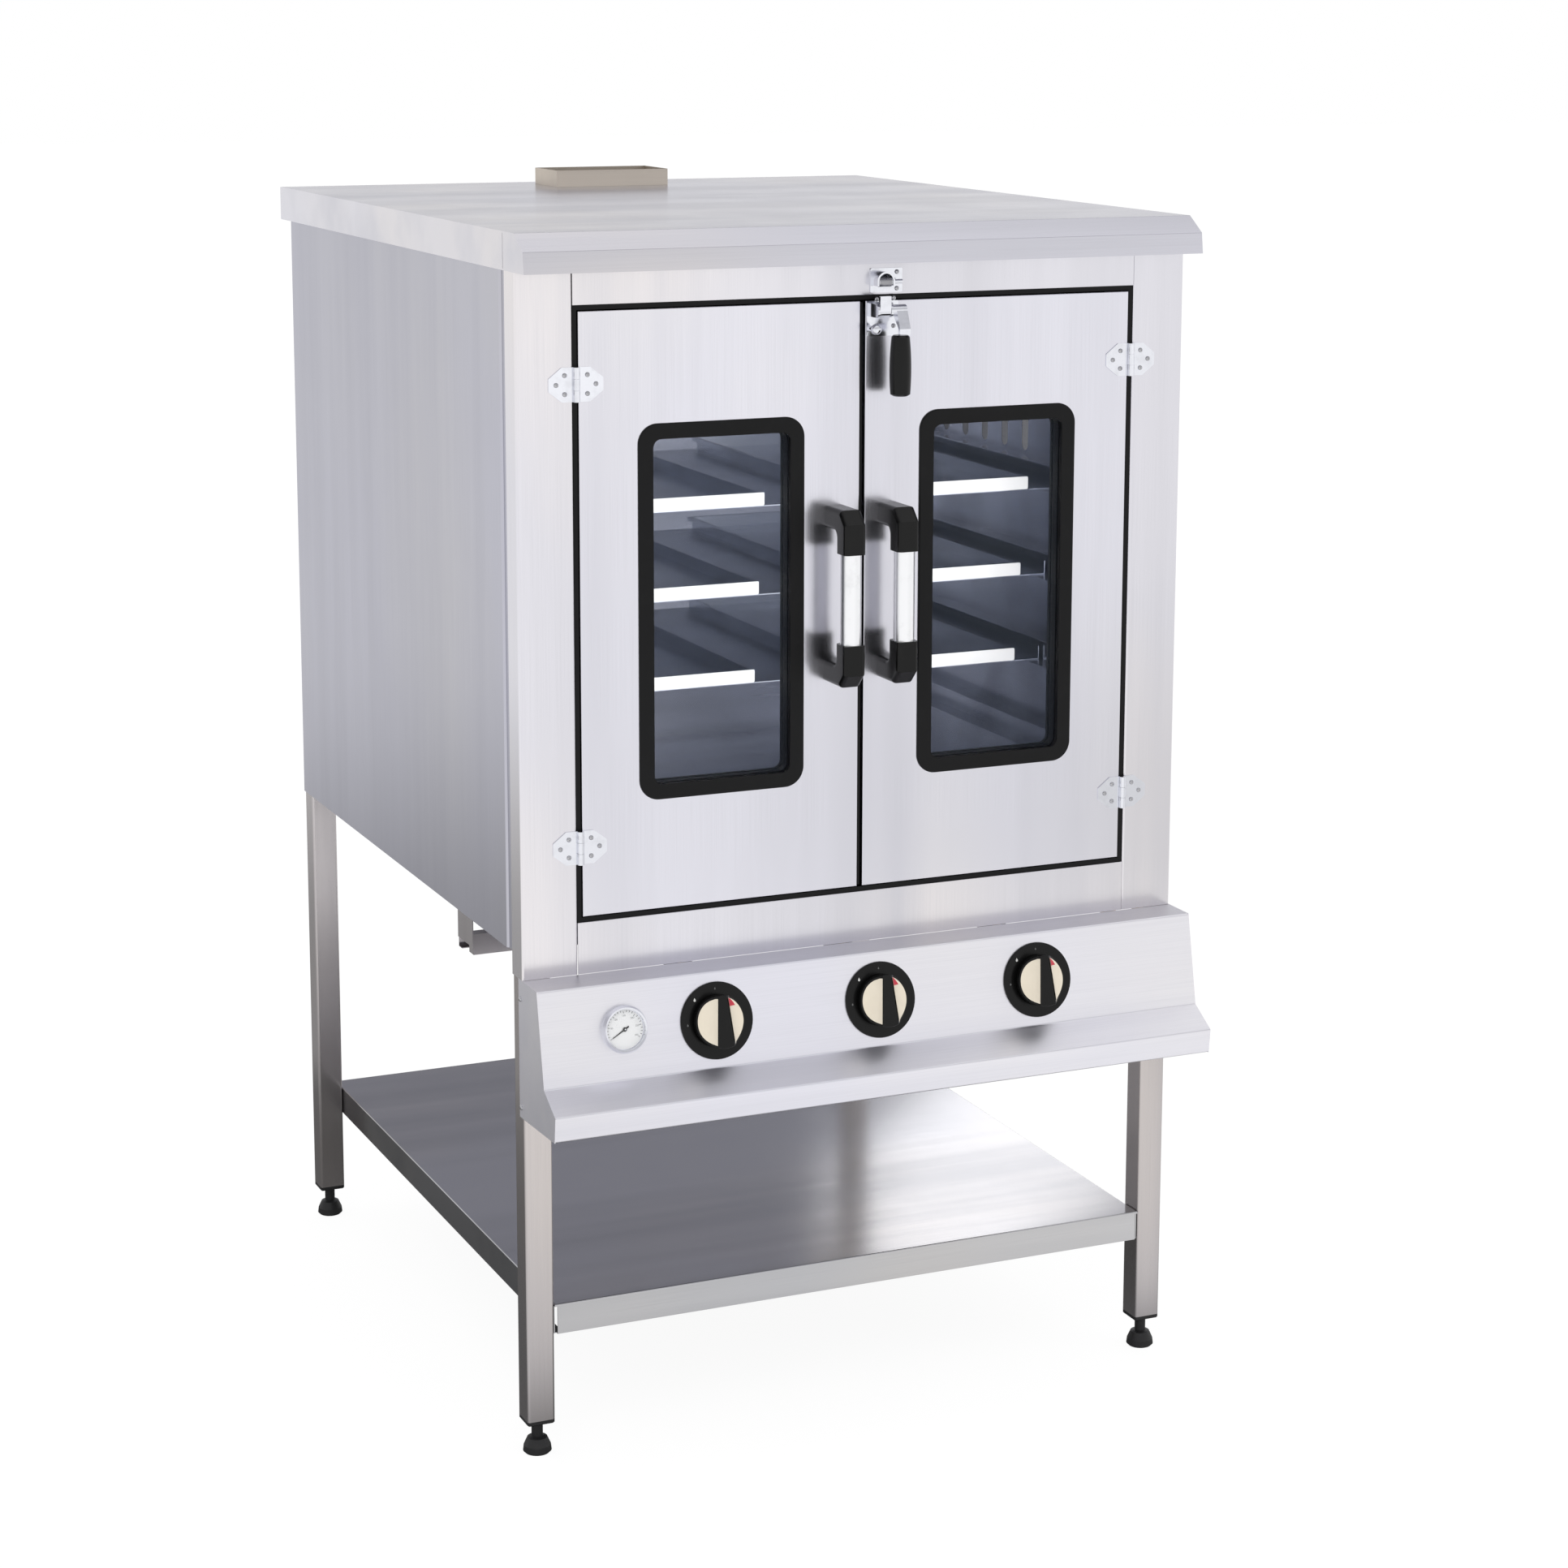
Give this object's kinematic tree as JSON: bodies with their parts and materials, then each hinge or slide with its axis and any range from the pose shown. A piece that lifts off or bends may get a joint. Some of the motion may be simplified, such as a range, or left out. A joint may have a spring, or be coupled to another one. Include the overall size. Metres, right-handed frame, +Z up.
{
  "type": "pastry oven",
  "caption": "Free-standing gas pastry oven: insulated steel chamber with glazed double doors, trays, a sloping knob panel, a flue collar and a tube stand with an undershelf.",
  "frame": {"origin": "on the floor under the centre of the oven's bounding box", "axes": "+Z up, -Y out of the front (doors and knobs), +X to the right of someone facing the front"},
  "size_m": [1.006, 1.245, 1.717],
  "materials": {
    "stand_steel": "satin brushed",
    "casing_steel": "satin brushed",
    "flue_steel": "dull, heat-tinted",
    "liner_steel": "satin",
    "tray_metal": "bright rolled",
    "bright_chrome": "polished",
    "spindle_steel": "turned",
    "black_plastic": "gloss moulded",
    "foot_plastic": "matt moulded",
    "black_rubber": "matt",
    "window_glass": "clear, grey-blue",
    "gauge_glass": "clear",
    "needle_black": "matt black",
    "insulation_wool": "mineral wool",
    "burner_steel": "heat-darkened",
    "gas_brass": "dull",
    "knob_cream": "satin cream",
    "mark_red": "printed red",
    "dial_white": "printed dial",
    "mark_white": "printed marks",
    "screw_steel": "bright"
  },
  "bodies": {
    "root": {"base_panel": "casing_steel", "burner_trough": "stand_steel", "burners": "burner_steel", "chamber_liner": "liner_steel", "console_ends": "casing_steel", "control_panel": "casing_steel", "door_frame_seal": "black_rubber", "flue_collar": "flue_steel", "front_rails": "casing_steel", "front_stiles": "casing_steel", "gas_rail": "gas_brass", "hinge_frame_leaves": "bright_chrome", "insulation": "insulation_wool", "knob_bezels": "black_plastic", "latch_keeper": "bright_chrome", "leg_front_left": "stand_steel", "leg_front_right": "stand_steel", "leg_rear_left": "stand_steel", "leg_rear_right": "stand_steel", "leg_sockets": "foot_plastic", "rear_panel": "casing_steel", "side_panels": "casing_steel", "thermometer_case": "bright_chrome", "thermometer_lens": "gauge_glass", "top_lid": "casing_steel", "tray_runners": "liner_steel", "undershelf": "stand_steel"},
    "door_left": {"door_skin_left": "casing_steel", "door_liner_left": "liner_steel", "window_gasket_left": "black_rubber", "window_glass_left": "window_glass", "handle_ends_left": "black_plastic", "handle_tube_left": "bright_chrome", "hinge_door_leaves_left": "bright_chrome", "door_centre_seal": "black_rubber"},
    "door_right": {"door_skin_right": "casing_steel", "door_liner_right": "liner_steel", "window_gasket_right": "black_rubber", "window_glass_right": "window_glass", "handle_ends_right": "black_plastic", "handle_tube_right": "bright_chrome", "hinge_door_leaves_right": "bright_chrome", "latch_body": "bright_chrome"},
    "latch_lever": {"latch_lever": "bright_chrome", "latch_grip": "black_plastic"},
    "thermometer_needle": {"thermometer_needle": "needle_black"},
    "tray_bottom": {"tray_bottom": "tray_metal"},
    "tray_middle": {"tray_middle": "tray_metal"},
    "tray_top": {"tray_top": "tray_metal"},
    "spindle_left": {"knob_spindle_left": "spindle_steel"},
    "knob_left": {"knob_left": "black_plastic"},
    "spindle_middle": {"knob_spindle_middle": "spindle_steel"},
    "knob_middle": {"knob_middle": "black_plastic"},
    "spindle_right": {"knob_spindle_right": "spindle_steel"},
    "knob_right": {"knob_right": "black_plastic"},
    "levelling_foot_front_left": {"levelling_foot_front_left": "foot_plastic"},
    "levelling_foot_front_right": {"levelling_foot_front_right": "foot_plastic"},
    "levelling_foot_rear_left": {"levelling_foot_rear_left": "foot_plastic"},
    "levelling_foot_rear_right": {"levelling_foot_rear_right": "foot_plastic"}
  },
  "joints": [
    {"name": "door_left_hinge", "type": "hinge", "parent": "root", "child": "door_left", "pos_m": [-0.416, -0.5, 1.176], "axis": [0, 0, -1], "range_deg": [0, 170]},
    {"name": "door_right_hinge", "type": "hinge", "parent": "root", "child": "door_right", "pos_m": [0.416, -0.5, 1.176], "axis": [0, 0, 1], "range_deg": [0, 170]},
    {"name": "latch_swing", "type": "hinge", "parent": "door_right", "child": "latch_lever", "pos_m": [0.036, -0.5195, 1.574], "axis": [-1, 0, 0], "range_deg": [0, 110]},
    {"name": "knob_left_turn", "type": "hinge", "parent": "root", "child": "spindle_left", "pos_m": [-0.246, -0.5658, 0.62], "axis": [0, -0.9803, 0.1976], "range_deg": [0, 100]},
    {"name": "knob_left_push", "type": "slide", "parent": "spindle_left", "child": "knob_left", "axis": [0, 0.9803, -0.1976], "range_m": [0, 0.004], "stiffness_N_per_m": 900, "springref_m": -0.003},
    {"name": "knob_middle_turn", "type": "hinge", "parent": "root", "child": "spindle_middle", "pos_m": [0, -0.5658, 0.62], "axis": [0, -0.9803, 0.1976], "range_deg": [0, 100]},
    {"name": "knob_middle_push", "type": "slide", "parent": "spindle_middle", "child": "knob_middle", "axis": [0, 0.9803, -0.1976], "range_m": [0, 0.004], "stiffness_N_per_m": 900, "springref_m": -0.003},
    {"name": "knob_right_turn", "type": "hinge", "parent": "root", "child": "spindle_right", "pos_m": [0.246, -0.5658, 0.62], "axis": [0, -0.9803, 0.1976], "range_deg": [0, 100]},
    {"name": "knob_right_push", "type": "slide", "parent": "spindle_right", "child": "knob_right", "axis": [0, 0.9803, -0.1976], "range_m": [0, 0.004], "stiffness_N_per_m": 900, "springref_m": -0.003},
    {"name": "thermometer_turn", "type": "hinge", "parent": "root", "child": "thermometer_needle", "pos_m": [-0.381, -0.565, 0.624], "axis": [0, 0.9803, -0.1976], "range_deg": [0, 240]},
    {"name": "tray_bottom_slide", "type": "slide", "parent": "root", "child": "tray_bottom", "axis": [0, -1, 0], "range_m": [-0.135, 0.181]},
    {"name": "tray_middle_slide", "type": "slide", "parent": "root", "child": "tray_middle", "axis": [0, -1, 0], "range_m": [-0.15, 0.166]},
    {"name": "tray_top_slide", "type": "slide", "parent": "root", "child": "tray_top", "axis": [0, -1, 0], "range_m": [-0.17, 0.146]},
    {"name": "foot_front_left_screw", "type": "slide", "parent": "root", "child": "levelling_foot_front_left", "axis": [0, 0, -1], "range_m": [0, 0.02]},
    {"name": "foot_front_right_screw", "type": "slide", "parent": "root", "child": "levelling_foot_front_right", "axis": [0, 0, -1], "range_m": [0, 0.02]},
    {"name": "foot_rear_left_screw", "type": "slide", "parent": "root", "child": "levelling_foot_rear_left", "axis": [0, 0, -1], "range_m": [0, 0.02]},
    {"name": "foot_rear_right_screw", "type": "slide", "parent": "root", "child": "levelling_foot_rear_right", "axis": [0, 0, -1], "range_m": [0, 0.02]}
  ]
}
